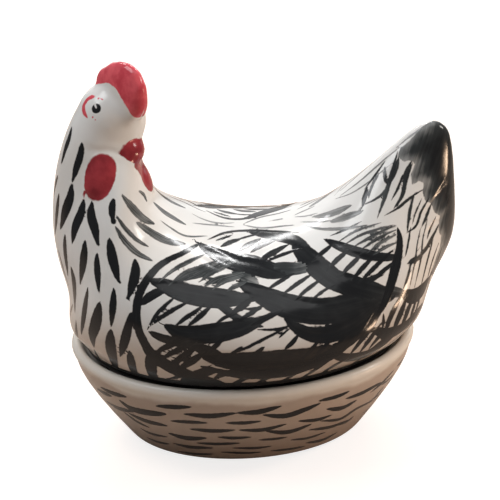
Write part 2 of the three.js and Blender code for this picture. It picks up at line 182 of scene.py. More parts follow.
WING_HATCH = [
    [2.6, 215, 241, 224, 238, 233, 234.5], [4.8, 220, 247.5, 230, 242.5, 242, 238],
    [2.6, 234, 241, 246, 237, 260, 233.5], [4.8, 238, 251.5, 248, 245, 262, 238],
    [4.8, 250, 253, 262, 245, 278, 239], [5.2, 256, 264, 270, 254, 290, 243.5],
    [3.4, 264, 263, 280, 255.5, 302, 248], [4.2, 147, 330, 157, 314, 167, 304, 178, 294],
    [4.6, 149, 327, 161, 317.5, 175, 309, 193, 299],
    [4.8, 173, 328, 187, 317, 197, 310.5, 205, 303], [5.7, 186, 328, 198, 318, 213, 304],
    [3.6, 212, 326, 226, 317, 240, 311], [7, 229, 315, 240, 308, 254, 297],
    [5, 238, 321, 252, 312.5, 265, 304], [6.5, 250, 326, 266, 318, 284, 309],
    [3.4, 226, 357, 250, 346, 270, 336, 292, 325], [2.8, 256, 329.5, 275, 329.5, 293, 325],
    [2.2, 277, 340, 284, 333, 292, 327], [5, 284, 350, 293, 342, 299, 334],
    [5.5, 206, 355, 215, 346.5, 226, 336], [4.6, 226, 358, 235, 352, 243, 346],
    [5, 251, 358, 258, 352, 265, 346.5], [5.5, 152, 355, 166, 347, 178, 342, 190, 337],
    [4.8, 158, 361, 172, 353, 186, 346, 200, 339], [5.7, 167, 367, 182, 357.5, 192, 350, 202, 345],
    [5.8, 176, 371, 192, 361, 208, 350], [3.4, 163, 379.5, 178, 377, 196, 372, 214, 364],
    [5, 172, 388, 186, 380, 200, 373, 212, 366], [4.6, 186, 379, 198, 382, 210, 386.5, 220, 390],
    [4.8, 198, 378, 210, 372.5, 222, 369], [5.2, 212, 380, 224, 374, 242, 369],
    [4, 224, 389, 238, 382, 254, 374], [3.2, 246, 388, 264, 380, 284, 371],
    [3, 268, 386, 284, 380, 302, 371], [3.8, 264, 292, 279, 282, 296, 272],
    [4, 280, 297, 296, 284.5, 314, 273], [3.8, 294, 301, 309, 288, 324, 277.5],
    [3, 309, 303, 321, 292.5, 336, 284], [2, 312, 300, 317, 296, 323, 293.5],
    [4.6, 311, 262, 322, 253, 334, 243], [5, 326, 272, 338, 259, 351, 248],
    [4.8, 339, 277, 351, 265, 364, 252], [4.6, 350, 283, 362, 268.5, 376, 254],
    [4.4, 357, 285, 374, 268, 394, 249], [4, 366, 287, 382, 272, 400, 258],
    [4, 362, 282, 374, 277, 384, 275], [3.6, 299, 362, 311, 350, 320, 338, 325, 331],
    [3.6, 312, 361, 324, 347, 338, 332], [4, 324, 360, 338, 345, 354, 328],
    [4, 336, 359, 350, 343, 363, 327, 374, 312], [4.6, 348, 357, 360, 342, 372, 326, 383, 309],
    [4, 358, 355, 370, 339, 382, 322], [3.4, 368, 350, 378, 338, 390, 325],
    [3.6, 296, 381, 314, 370.5, 334, 357], [4.4, 314, 379, 330, 368, 350, 357],
    [3, 334, 374, 352, 364, 370, 352], [2.6, 350, 369, 374, 357, 396, 341, 414, 322],
    [2, 340, 375, 366, 363, 392, 349], [2.2, 368, 363, 390, 349.5, 413, 330],
    [1.8, 378, 352, 398, 337, 415, 320], [2, 320, 381, 346, 372, 372, 361],
    [2, 294, 384, 320, 377.5, 346, 369], [5, 383, 336, 392, 314, 402, 294],
    [5, 391, 336, 400, 315, 408, 294], [4.6, 399, 333, 407, 313, 414, 293],
    [3.6, 408, 325, 413, 310, 418, 294], [3.2, 414, 316, 418, 304, 421, 292],
    [3, 382, 331, 383.5, 322, 383.5, 313], [2.6, 371, 333, 373, 326],
    [2.4, 425, 300, 428, 286, 431, 272],
]
# Thin grey hatching, painted pale to stand for the glaze's reflection on it: a painted highlight
WING_HATCH_PAINTED_SHEEN = [
    [5.2, 168, 286, 184, 274, 198, 268.5, 218, 260],
    [4, 184, 281, 200, 273.5, 214, 266, 230, 259.5], [4, 198, 283, 212, 273, 224, 267, 238, 261],
    [4.6, 203, 288, 216, 279.5, 228, 276, 246, 272],
    [5, 212, 290, 223, 281.5, 232, 278.5, 246, 274.5], [4.6, 226, 292, 236, 286, 248, 281],
    [3.8, 158, 283, 172, 271, 188, 262, 207, 253], [2.6, 338, 242, 354, 232, 370, 226, 382, 222.5],
    [2.8, 342, 246, 362, 234.5, 382, 228, 395, 224.5],
    [3, 350, 249, 368, 238.5, 384, 230.5, 397, 225], [3, 358, 252, 373, 241.5, 386, 234, 398, 229],
    [3, 366, 254, 380, 243.5, 391, 237, 400, 233], [3, 372, 256, 385, 247.5, 398, 242],
    [2.2, 374, 252, 378, 246, 380, 240], [2.3, 330, 236, 348, 228.5, 362, 221],
]
TAIL_STROKES = [
    [4.2, 367, 186, 365, 196, 362, 208], [2.5, 360, 206, 374, 200, 384, 192, 390, 180, 392, 168],
    [2.5, 368, 200, 372, 186, 380, 172], [2.2, 364, 190, 373, 178, 386, 160],
    [3.4, 385, 166, 385, 178, 388, 186], [4.2, 398, 150, 392, 172, 385, 196, 377, 219],
    [3.4, 399, 155, 396, 170, 390, 184], [2.5, 403, 174, 398, 188, 391, 201],
    [4, 413, 162, 406, 180, 402, 196, 393, 210], [3.4, 412, 160, 406, 172, 402, 182],
    [2.5, 384, 216, 398, 208, 411, 197, 424, 189], [3, 415, 192, 410, 210, 407, 234],
    [2.4, 430, 196, 421, 212, 416, 226, 405, 234], [2.6, 432, 202, 427, 215, 421, 228],
    [1.5, 422, 198, 415, 214, 412, 226], [2.8, 440, 222, 432, 238, 422, 254, 407, 264],
    [4.2, 407, 264, 414, 260, 422, 257], [1.9, 411, 226, 408, 244, 405, 258],
    [1.6, 421, 226, 417, 246, 415, 262, 409, 290], [1.6, 428, 217, 423, 238, 421, 258, 414, 290],
    [2.6, 411, 262, 408, 276, 403, 290], [1.8, 434, 236, 427, 262, 420, 290],
    [1.5, 439, 242, 432, 262, 426, 284], [1.8, 443, 244, 437, 262, 431, 276],
    [1.9, 436, 216, 430, 230, 427, 240], [1.8, 447, 250, 441, 262, 435, 274],
]
TAIL_WASH = [
    (437, 116), (431, 122), (420, 130), (410, 140), (401, 148), (398, 156), (404, 162), (409, 160),
    (415, 163), (411, 175), (412, 185), (419, 181), (424, 183), (423, 191), (425, 201), (431, 203),
    (434, 212), (440, 216), (438, 228), (441, 236), (440, 248), (430, 276), (446, 268), (462, 240),
    (464, 180), (458, 130), (446, 112),
]
DISH_DASHES = [
    [4.2, 100, 387, 112, 393, 127, 397], [4.2, 97, 389, 104, 393, 112, 396],
    [7, 119, 400, 132, 409, 150, 413, 167, 414], [5, 106, 401, 118, 408, 134, 412],
    [5.6, 128, 413, 146, 421, 168, 426], [4.2, 124, 412, 136, 421, 150, 428],
    [4.2, 155, 406, 172, 407, 192, 407], [5, 183, 414, 210, 416, 237, 413],
    [5, 236, 413, 258, 412, 282, 406], [5.6, 262, 415, 285, 416, 304, 410, 321, 403],
    [5, 326, 409, 342, 408, 357, 400], [3.6, 318, 401, 336, 397, 350, 391],
    [4.2, 345, 399, 362, 393, 382, 382], [4.2, 170, 421, 188, 422, 208, 423],
    [4.2, 225, 423, 244, 423, 262, 421], [5, 189, 429, 214, 431, 236, 430],
    [4.8, 238, 430, 262, 430, 287, 424], [5.6, 265, 431, 288, 432, 312, 424],
    [4.2, 298, 421, 316, 420, 332, 415], [4.2, 320, 421, 340, 419, 356, 409, 374, 400],
    [4.2, 308, 430, 330, 427, 352, 419], [3.6, 333, 426, 346, 422, 354, 416],
    [6.2, 168, 433, 186, 438, 207, 438], [4.2, 217, 437, 234, 438, 252, 437],
    [3.6, 258, 440, 274, 439, 288, 437], [3.6, 290, 440, 308, 438, 326, 432],
    [4.2, 305, 443, 322, 440, 338, 432], [4.2, 196, 443, 218, 444, 241, 443],
    [4.8, 172, 443, 190, 447, 214, 448], [3.6, 140, 428, 152, 434, 168, 437],
    [3.6, 146, 437, 158, 442, 170, 444], [3.6, 232, 448, 256, 448, 272, 446],
    [3.4, 176, 451, 196, 454, 214, 454], [3.4, 220, 452, 246, 453, 262, 452],
    [3.4, 270, 451, 290, 449, 306, 446], [3.4, 364, 406, 374, 398, 384, 386],
    [3.4, 370, 393, 382, 383, 394, 370], [3.1, 378, 402, 388, 390, 396, 376],
]
# Strokes seen straight from an end: [width, y, z, y, z, ...] in millimetres, here on both ends
DISH_END_DASHES = [
    [3.2, -17, 58, -10, 57, -4, 58.5], [3.4, -28, 51, -20, 49.6, -13, 50.5],
    [3.2, -16, 44, -9, 43, -3.5, 43.6], [3.4, -24, 37, -17, 35.8, -11, 36.8],
    [3, -15, 30, -9, 29.2, -3.5, 29.8], [3, -22, 23, -16, 22, -9, 23],
    [2.8, -14, 16, -8, 15.4, -3.5, 15.8], [2.6, -19, 10, -13, 9.4, -8, 9.8],
]
# The end under the tail
DISH_TAIL_END_DASHES = [
    [3, -39, 57, -31, 56, -24, 57.5], [2.8, -47, 49, -41, 48.6, -36, 50],
    [3.2, -37, 43.5, -30, 42.4, -23, 43.6], [3, -42, 36, -36, 35.4, -31, 36.6],
    [3.2, -33, 30, -26, 28.8, -20, 29.8], [2.8, -37, 22.6, -32, 22, -27, 23],
    [2.8, -29, 16.4, -23, 15.4, -17, 16.2],
]
RUMP_STROKES = [
    [2.4, -5, 113, -6, 105, -6, 97], [2.4, -13, 117, -15, 108, -17, 99],
    [2.2, -22, 114, -25, 104, -27, 95], [2.4, -10, 99, -11, 92, -12, 85],
    [2.2, -19, 98, -21, 91, -23, 84], [2.2, -1, 96, -1, 90, -1, 84],
    [2.2, -31, 106, -34, 98, -37, 90], [2.2, -29, 95, -32, 89, -34, 84],
    [2, -40, 98, -43, 92, -45, 86],
]
BREAST_DABS = [
    [4, 0, 207, 0, 189], [4.5, 0, 158, 0, 139], [4.5, -7, 140, -8, 121], [4.5, 0, 126, 0, 108],
    [4.5, -9, 110, -10, 91], [4, 0, 97, 0, 81],
]

# Moulded lines: [x, y, x, y, ...] in pixels
FEATHER_EDGES = [
    [201, 248, 208, 244.5, 222, 249, 240, 257, 262, 261, 275, 268, 286, 277],
    [203, 254, 214, 262, 228, 268, 245, 275], [286, 238, 304, 246, 318, 255, 338, 267, 366, 278],
    [330, 240, 345, 247, 360, 252, 374, 256, 398, 258],
    [240, 283, 262, 290, 285, 294, 310, 298, 337, 300],
    [152, 281, 170, 280, 192, 283, 218, 288, 253, 297],
    [285, 320, 296, 326, 311, 330, 328, 328, 343, 321, 358, 309],
    [166, 325, 190, 324.5, 215, 324, 252, 317],
    [205, 356, 222, 351, 250, 350.5, 283, 348, 302, 342], [418, 214, 430, 200, 440, 186, 447, 176],
    [420, 236, 432, 222, 442, 213, 449, 203], [392, 190, 404, 172, 416, 156, 428, 140],
]
CREASES = [
    [84, 150, 98, 151, 110, 151, 121, 154],
]
FEATHER_STEP = 0.7 * MM
FEATHER_FADE = 8 * MM
FEATHER_CREST = 1.8 * MM
FEATHER_RIDGE_SHARE = 0.25
FEATHER_END_SHARE = 0.15
CREASE_HALF = 1.8 * MM


def unit(values):
    return np.clip(values, 0, 1)


def smooth_points(values, spacing):
    """Points along a smooth curve through [x, y, x, y, ...], with their shares of its length."""
    points = np.reshape(values, (-1, 2)).astype(float)
    padded = np.vstack([2 * points[0] - points[1], points, 2 * points[-1] - points[-2]])
    samples = []
    for before, start, end, after in zip(padded, points, points[1:], padded[3:]):
        count = max(2, int(np.linalg.norm(end - start) / spacing) + 1)
        t = (np.arange(count) / count)[:, None]
        linear = (end - before) * t
        square = (2 * before - 5 * start + 4 * end - after) * t**2
        cube = (3 * start - before - 3 * end + after) * t**3
        samples.append(start + 0.5 * (linear + square + cube))
    samples = np.vstack([*samples, points[-1]])
    lengths = np.append(0, np.cumsum(np.linalg.norm(np.diff(samples, axis=0), axis=1)))
    return samples, lengths / lengths[-1]


# Profiles of a stroke: the share of its half width at each share of its length

def swelling(pointedness, lean=1.0):
    return lambda t: np.sin(pi * t**lean) ** pointedness


def line(t, start=0.12, end=0.25, pointedness=0.6):
    return np.minimum(1, np.minimum(t / start, (1 - t) / end)) ** pointedness


dab = swelling(0.7, 0.85)
leaf = swelling(0.55)
hatch = swelling(0.8)

SAMPLE_PIXELS = 2.5
LEAST_FACING = 0.62
END_SAMPLE = 2 * MM
END_REACH = 60 * MM


def pixel_ray(x, y):
    """The direction from the camera through a pixel."""
    half = FRAME_PIXELS / 2
    aside = RIGHT * (x - half) / FOCAL_PIXELS
    rise = UP * (half - y) / FOCAL_PIXELS
    return (FORWARD + aside + rise).normalized()


def pixels_of(places):
    """Pixels at which places are seen."""
    aside, rise, depth = np.array([RIGHT, UP, FORWARD]) @ (places - np.array(CAMERA)).T
    return FRAME_PIXELS / 2 + FOCAL_PIXELS * np.stack([aside / depth, -rise / depth], axis=1)


def size_of_pixels(pixels, place):
    """What a width in pixels comes to in metres at a place."""
    return pixels * (place - CAMERA).dot(FORWARD) / FOCAL_PIXELS


def painted_path(tree, row, profile):
    """A stroke laid on the surface through the camera: its points and half widths in metres."""
    samples, shares = smooth_points(row[1:], SAMPLE_PIXELS)
    laid = []
    for sample, half in zip(samples, row[0] / 2 * profile(shares)):
        ray = pixel_ray(*sample)
        place, normal, _, _ = tree.ray_cast(CAMERA, ray)
        if place is not None:
            facing = max(LEAST_FACING, abs(normal.dot(ray)))
            laid.append((*place, size_of_pixels(half, place) / facing))
    laid = np.reshape(laid, (-1, 4))
    return laid[:, :3], laid[:, 3]


def end_path(tree, row, profile, side):
    """A stroke laid straight on the breast end (side -1) or the tail end (side 1)."""
    samples, shares = smooth_points(np.multiply(row[1:], MM), END_SAMPLE)
    laid = []
    for sample, half in zip(samples, row[0] / 2 * MM * profile(shares)):
        place = tree.ray_cast(Vector((side, *sample)), Vector((-side, 0, 0)))[0]
        if place is not None and place.x * side > END_REACH:
            laid.append((*place, half))
    laid = np.reshape(laid, (-1, 4))
    return laid[:, :3], laid[:, 3]


front_path = partial(end_path, side=-1)
back_path = partial(end_path, side=1)


# The depth of places that no paint reaches, and how far off its surface a stroke still paints
OUTSIDE = -4 * MM
MOST_LIFT = 3 * MM
LEAST_STEP = 0.001 * MM
PAINT_VALUES = ("depth", "tone", "along", "across")


def measured(places, normals, path, halves, tones, start):
    """Half width, depth, tone and the distances along and across a stroke, at each place."""
    step = path[1:] - path[:-1]
    lengths = np.maximum(np.linalg.norm(step, axis=1), LEAST_STEP)
    away = places[:, None] - path[:-1]
    ahead = np.einsum("nsk,sk->ns", away, step) / lengths**2
    share = unit(ahead)
    gap = away - share[..., None] * step
    distance = np.linalg.norm(gap, axis=2)
    depth = halves[:-1] + (halves[1:] - halves[:-1]) * share - distance
    best = depth.argmax(1)
    rows = np.arange(len(places))
    depth, distance, ahead, share = (value[rows, best] for value in (depth, distance, ahead, share))
    half = depth + distance
    past = np.where(best == 0, -ahead, 0) + np.where(best == len(step) - 1, ahead - 1, 0)
    past = np.maximum(past, 0) * lengths[best]
    apart = gap[rows, best]
    lift = np.einsum("nk,nk->n", apart, normals)
    side = np.einsum("nk,nk->n", np.cross(step[best], apart), normals)
    across = np.sign(side) * np.sqrt(np.maximum(distance**2 - past**2 - lift**2, 0))
    starts = np.append(0, np.cumsum(lengths))
    along = start + starts[best] + share * lengths[best]
    half = np.where(np.abs(lift) > MOST_LIFT, OUTSIDE, half - past)
    return half, depth, np.broadcast_to(tones, len(path))[best], along, across


class Layer:
    """Paint at a set of places, taken for each from the stroke that it lies deepest in."""

    def __init__(self, places, normals):
        self.places = places
        self.normals = normals
        self.owner = np.full(len(places), -1)
        self.depth = np.full(len(places), OUTSIDE)
        self.tone, self.along, self.across = np.zeros((3, len(places)))

    def lay(self, path, halves, tones, start, number=0):
        reach = halves.max() - OUTSIDE
        within = (self.places > path.min(0) - reach) & (self.places < path.max(0) + reach)
        near = np.flatnonzero(within.all(1))
        if not len(near):
            return
        values = measured(self.places[near], self.normals[near], path, halves, tones, start)[1:]
        deeper = values[0] > self.depth[near]
        chosen = near[deeper]
        for name, value in zip(PAINT_VALUES, values):
            getattr(self, name)[chosen] = value[deeper]
        self.owner[chosen] = number

    def cover(self, depth, tone, along=0, across=0):
        """Adds other paint where it lies deeper than what is there."""
        deeper = depth > self.depth
        for name, value in zip(PAINT_VALUES, (depth, tone, along, across)):
            setattr(self, name, np.where(deeper, value, getattr(self, name)))


class Coat:
    """Paint by vertex, with the stroke of each face kept exactly at its corners."""

    def __init__(self, mesh, seen, facing):
        self.mesh = mesh
        self.points = Layer(seen, facing)
        self.corner_vertex = read(mesh.loops, "vertex_index", 1, np.int32)[:, 0]
        sizes = read(mesh.polygons, "loop_total", 1, np.int32)[:, 0]
        self.corner_face = np.repeat(np.arange(len(sizes)), sizes)

        def middles(values):
            corners = values[self.corner_vertex].T
            sums = [np.bincount(self.corner_face, corner, len(sizes)) for corner in corners]
            return np.stack(sums, axis=1) / sizes[:, None]

        self.faces = Layer(middles(seen), middles(facing))
        self.strokes = []

    def lay(self, path, halves, tones, start):
        for layer in (self.points, self.faces):
            layer.lay(path, halves, tones, start, len(self.strokes))
        self.strokes.append((path, halves, tones, start))

    def store(self, prefix, hidden):
        """Stores the coat as attributes, with no paint on the hidden vertices."""
        points = self.points
        points.depth[hidden] = OUTSIDE
        names = PAINT_VALUES[1:]
        corner = {name: getattr(points, name)[self.corner_vertex] for name in names}
        corner["half"] = np.full(len(self.corner_vertex), OUTSIDE)
        owner = self.faces.owner[self.corner_face]
        order = np.argsort(owner, kind="stable")
        bounds = np.searchsorted(owner[order], np.arange(len(self.strokes) + 1))
        for number, stroke in enumerate(self.strokes):
            own = order[bounds[number] : bounds[number + 1]]
            if not len(own):
                continue
            vertex = self.corner_vertex[own]
            half, _, *rest = measured(points.places[vertex], points.normals[vertex], *stroke)
            for name, value in zip(("half", *names), (half, *rest)):
                corner[name][own] = value
        corner["half"][hidden[self.corner_vertex]] = OUTSIDE
        store(self.mesh, prefix + "_depth", points.depth)
        for name, value in corner.items():
            store(self.mesh, prefix + "_" + name, value, "CORNER")


# How far along the streaks each next stroke starts, so that no two look alike
STREAK_OFFSET = 0.37


def lay_rows(layer, tree, rows, profile, tone, cast=painted_path, thinning=0.0):
    """Lays a table of strokes, each growing paler towards its end."""
    for number, row in enumerate(rows):
        path, halves = cast(tree, row, profile)
        if len(path) > 1:
            tones = tone * (1 - thinning * np.linspace(0, 1, len(path)) ** 2)
            layer.lay(path, halves, tones, STREAK_OFFSET * number)


def border_depth(pixels, border):
    """How far pixels lie inside a border, in metres, negative outside."""
    inside = np.zeros(len(pixels), bool)
    nearest = np.full(len(pixels), np.inf)
    for a, b in zip(border, np.roll(border, -1, axis=0)):
        edge = b - a
        away = pixels - a
        share = unit(away @ edge / (edge @ edge))
        nearest = np.minimum(nearest, np.linalg.norm(away - share[:, None] * edge, axis=1))
        crosses = (a[1] > pixels[:, 1]) != (b[1] > pixels[:, 1])
        left = (away[:, 0] * edge[1] < away[:, 1] * edge[0]) == (edge[1] > 0)
        inside ^= crosses & left
    return np.where(inside, nearest, -nearest) * DISTANCE / FOCAL_PIXELS


# Meshes

REFINE_CUTS = 2


def applied(obj):
    """The object with its modifiers applied."""
    bpy.context.view_layer.update()
    graph = bpy.context.evaluated_depsgraph_get()
    mesh = bpy.data.meshes.new_from_object(obj.evaluated_get(graph))
    obj.modifiers.clear()
    old = obj.data
    obj.data = mesh
    bpy.data.meshes.remove(old)
    return obj


def refine(mesh, chosen):
    """Splits the chosen edges, and the faces beside them, into smaller ones."""
    fine = bmesh.new()
    fine.from_mesh(mesh)
    chosen = [edge for edge, split in zip(fine.edges, chosen) if split]
    bmesh.ops.subdivide_edges(fine, edges=chosen, cuts=REFINE_CUTS, use_grid_fill=True)
    fine.to_mesh(mesh)
    fine.free()


def outer_shell(mesh, places):
    """The outer surface's vertices: those joined to the tail's tip by edges above the foot."""
    pairs = edges(mesh)
    pairs = pairs[(places[pairs, 2] > FOOT_CUT).all(1)]
    reached = np.zeros(len(places), bool)
    reached[places[:, 0].argmax()] = True
    count = 0
    while count < reached.sum():
        count = reached.sum()
        reached[pairs[reached[pairs].any(1)]] = True
    return reached


def thinned(obj, chosen, ratio):
    """Thins the object's faces among the chosen vertices."""
    group = obj.vertex_groups.new(name="thinned")
    group.add([int(i) for i in np.flatnonzero(chosen)], 1, "REPLACE")
    fewer = obj.modifiers.new("fewer_faces", "DECIMATE")
    fewer.ratio = ratio
    fewer.vertex_group = group.name
    applied(obj)
    obj.vertex_groups.clear()


def read(data, name, width, kind=float):
    values = np.empty(len(data) * width, kind)
    data.foreach_get(name, values)
    return values.reshape(-1, width)


def coordinates(mesh):
    return read(mesh.vertices, "co", 3)


def move_to(mesh, places):
    mesh.vertices.foreach_set("co", places.ravel())
    mesh.update()


def normals(mesh):
    return read(mesh.vertex_normals, "vector", 3, np.float32).astype(float)


def edges(mesh):
    return read(mesh.edges, "vertices", 2, np.int32)


def smoothed(places, pairs, weights, rounds):
    """Places drawn towards the middle of their neighbours."""
    first, second = pairs.T
    count = np.bincount(pairs.ravel(), minlength=len(places))
    for _ in range(rounds):
        sums = np.stack([
            np.bincount(first, places[second, k], len(places))
            + np.bincount(second, places[first, k], len(places))
            for k in range(3)
        ], axis=1)
        places = places + weights[:, None] * (sums / count[:, None] - places)
    return places


def fine_copy(node, name, voxel):
    """The CAD solid's mesh as a new object of even small faces."""
    obj = new_object(name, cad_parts[node].data.copy())
    remesh = obj.modifiers.new("even_faces", "REMESH")
    remesh.mode = "VOXEL"
    remesh.voxel_size = voxel
    return applied(obj)


def store(mesh, name, values, domain="POINT"):
    attribute = mesh.attributes.new(name, "FLOAT", domain)
    attribute.data.foreach_set("value", np.asarray(values, np.float32))


def mirrored(values, places):
    """Places or normals as they are on the side that is seen."""
    return values * np.where(places[:, 1:2] > 0, (1, -1, 1), 1)


def finished(mesh, material):
    """Shades the mesh smooth and gives it its only material."""
    mesh.shade_smooth()
    mesh.materials.clear()
    mesh.materials.append(material)


def tree_of(mesh, places):
    """Moves the mesh to the places and gives a tree for casting rays on it."""
    move_to(mesh, places)
    polygons = [tuple(polygon.vertices) for polygon in mesh.polygons]
    return BVHTree.FromPolygons([Vector(place) for place in places], polygons)


# The Mix node's colour sockets
MIX_FIRST, MIX_SECOND, MIX_RESULT = 6, 7, 2


class Graph:
    """Short calls for building the nodes of a material or world."""

    def __init__(self, owner):
        owner.use_nodes = True
        self.tree = owner.node_tree
        self.tree.nodes.clear()

    def node(self, kind, inputs=(), **settings):
        """A new node, with values or other nodes' sockets fed to its inputs."""
        made = self.tree.nodes.new("ShaderNode" + kind)
        for name, value in settings.items():
            setattr(made, name, value)
        for name, value in dict(inputs).items():
            if isinstance(value, bpy.types.NodeSocket):
                self.tree.links.new(value, made.inputs[name])
            else:
                made.inputs[name].default_value = value
        return made

    def attribute(self, name):
        return self.node("Attribute", attribute_name=name).outputs["Fac"]

    def math(self, operation, *values):
        return self.node("Math", enumerate(values), operation=operation).outputs[0]

    add = partialmethod(math, "ADD")
    times = partialmethod(math, "MULTIPLY")
    most = partialmethod(math, "MAXIMUM")

    def ramp(self, value, low, high, to_low=0.0, to_high=1.0):
        names = ("Value", "From Min", "From Max", "To Min", "To Max")
        inputs = zip(names, (value, low, high, to_low, to_high))
        made = self.node("MapRange", inputs, interpolation_type="SMOOTHSTEP")
        return made.outputs["Result"]

    def mix(self, share, first, second):
        inputs = {"Factor": share, MIX_FIRST: first, MIX_SECOND: second}
        return self.node("Mix", inputs, data_type="RGBA").outputs[MIX_RESULT]

    def place(self):
        return self.node("TexCoord").outputs["Object"]

    def noise(self, scale, detail, vector=None, roughness=0.5):
        inputs = {"Scale": scale, "Detail": detail, "Roughness": roughness}
        inputs["Vector"] = vector or self.place()
        return self.node("TexNoise", inputs).outputs["Fac"]

    def waver(self, height, *settings):
        """Noise to either side of nought."""
        return self.times(self.math("SUBTRACT", self.noise(*settings), 0.5), height)

    def separate(self):
        return self.node("SeparateXYZ", {0: self.place()}).outputs

    def surface(self, shader, kind="OutputMaterial"):
        self.node(kind, {"Surface": shader.outputs[0]})


# Linear colours
INK_BLACK = (0.012, 0.013, 0.015, 1)
INK_THIN = (0.045, 0.05, 0.052, 1)
# Painted shade: the thin slip low down, darker and warmer
INK_THIN_WARM_SHADE = (0.034, 0.024, 0.018, 1)
INK_WATERY = (0.26, 0.275, 0.275, 1)
INK_BROWN = (0.16, 0.07, 0.03, 1)
GLAZE_WHITES = (0.84, 0.82, 0.79, 1), (0.88, 0.87, 0.85, 1)
# Painted shade: the hen's white glaze darker and warmer low down, more so towards the tail, for
# shade and a warm reflection from below
PAINTED_SHADE_AT_BREAST = (0.72, 0.63, 0.55, 1)
PAINTED_SHADE_AT_TAIL = (0.5, 0.42, 0.355, 1)
# Painted light and shade on the red: darker low at the wattles, lighter with a painted sheen up at
# the comb
RED_IN_PAINTED_SHADE = (0.26, 0.024, 0.033, 1), (0.42, 0.044, 0.055, 1)
RED_IN_PAINTED_LIGHT = (0.68, 0.066, 0.094, 1), (0.9, 0.14, 0.17, 1)
# Painted shade: the dish's white glaze darker and browner down its wall, for shade and a warm
# reflection from below; the rim keeps its own cream
DISH_WALL_SHADE_AT_FOOT = (0.32, 0.24, 0.19, 1)
DISH_WALL_SHADE_AT_RIM = (0.54, 0.44, 0.37, 1)
RIM_GLAZE = (0.86, 0.81, 0.74, 1)
FLOOR_TONES = (0.46, 0.36, 0.29, 1), (0.50, 0.40, 0.33, 1)

# Noises: their scale and detail
MOTTLE = 22, 4
PATCHES = 16, 3
DISH_PATCHES = 26, 4
EDGE_GRAIN = 420, 3
STREAK_GRAIN = 1, 3
STREAK_ROUGHNESS = 0.6
CLOUDS = 75, 2
RIPPLES = 85, 2
RED_EDGE_GRAIN = 300, 2
RED_BRUSHING = 120, 3
FLOOR_GRAIN = 3, 2

# The slip's edge: how far it wavers, and the depths over which it and its stain set in
EDGE_WAVER = 0.7 * MM
RED_EDGE_WAVER = 1 * MM
EDGE_DEPTHS = -0.18 * MM, 0.22 * MM
STAIN_DEPTHS = -0.5 * MM, 0.1 * MM
# The slip's thickness, as tone: how far it clouds, and where it covers and turns black
CLOUDING = 0.35
WATERY_TONES = 0.2, 0.6
BLACK_TONES = 0.45, 0.9
COVER_TONES = 0.1, 0.6
LEAST_COVER = 0.6
# The stain's strength, and the brushes: (streaks along, across), their contrast and raggedness
WASH_STAIN = 0.25
INK_STAIN = 0.3
WASH_BRUSH = (28, 420), 0.35, 2.2 * MM
INK_BRUSH = (55, 1300), 0.5, 0.7 * MM
DISH_BRUSH = (55, 1300), 0.4, 0.6 * MM

GLAZE_IOR = 1.43
HEN_ROUGHNESS = 0.16
DISH_ROUGHNESS = 0.2
BUMP_STRENGTH = 0.25
BUMP_DISTANCE = 0.6 * MM
RIPPLE_HEIGHT = 0.6
SLIP_HEIGHT = 0.25

# The distances over which the colours change, mostly painted shade and light, and how far they
# waver
PATCH_HEIGHT = 30 * MM
DISH_PATCH_HEIGHT = 12 * MM
BELLY_SHADE_HEIGHTS = 70 * MM, 130 * MM
LOW_SHADE_HEIGHTS = 125 * MM, 85 * MM
BREAST_TO_TAIL = -60 * MM, 0
WATTLE_TO_COMB = 200 * MM, 235 * MM
RED_DEPTHS = -0.3 * MM, 0.4 * MM
DISH_WALL_SHADE_HEIGHTS = 0, 50 * MM
RIM_HEIGHTS = RIM_HEIGHT - 11 * MM, RIM_HEIGHT - 6 * MM


def brushed(graph, base, prefix, low, bare, streaks, contrast, rag):
    """Black slip over a base colour: streaked, thin where watery, brown at its edge, its thin parts
    painted darker and warmer low down as shade.
    """
    names = ("half", *PAINT_VALUES)
    half, depth, tone, along, across = (graph.attribute(f"{prefix}_{name}") for name in names)
    narrow = graph.math("SUBTRACT", half, graph.math("ABSOLUTE", across))
    depth = graph.add(graph.most(narrow, depth), graph.waver(EDGE_WAVER, *EDGE_GRAIN))
    streaked = graph.node("CombineXYZ", {
        "X": graph.times(along, streaks[0]),
        "Y": graph.times(across, streaks[1]),
    })
    streak = graph.waver(1, *STREAK_GRAIN, streaked.outputs[0], STREAK_ROUGHNESS)
    ragged = graph.add(depth, graph.times(streak, rag))
    body = graph.ramp(ragged, *EDGE_DEPTHS)
    varied = graph.add(graph.times(streak, contrast), graph.waver(CLOUDING, *CLOUDS))
    thick = graph.add(tone, varied)
    thin = graph.mix(low, INK_THIN, INK_THIN_WARM_SHADE)
    watery = graph.mix(graph.ramp(thick, *WATERY_TONES), INK_WATERY, thin)
    colour = graph.mix(graph.ramp(thick, *BLACK_TONES), watery, INK_BLACK)
    stain = graph.times(graph.ramp(depth, *STAIN_DEPTHS), bare)
    cover = graph.times(body, graph.ramp(thick, *COVER_TONES, LEAST_COVER, 1.0))
    return graph.mix(cover, graph.mix(stain, base, INK_BROWN), colour), body


def glazed(graph, colour, relief, roughness):
    """A clear glossy glaze, rippled, over raised slip."""
    ripple = graph.times(graph.noise(*RIPPLES), RIPPLE_HEIGHT)
    bump = graph.node("Bump", {
        "Strength": BUMP_STRENGTH,
        "Distance": BUMP_DISTANCE,
        "Height": graph.add(ripple, graph.times(relief, SLIP_HEIGHT)),
    })
    graph.surface(graph.node("BsdfPrincipled", {
        "Base Color": colour,
        "Roughness": roughness,
        "IOR": GLAZE_IOR,
        "Normal": bump.outputs["Normal"],
    }))


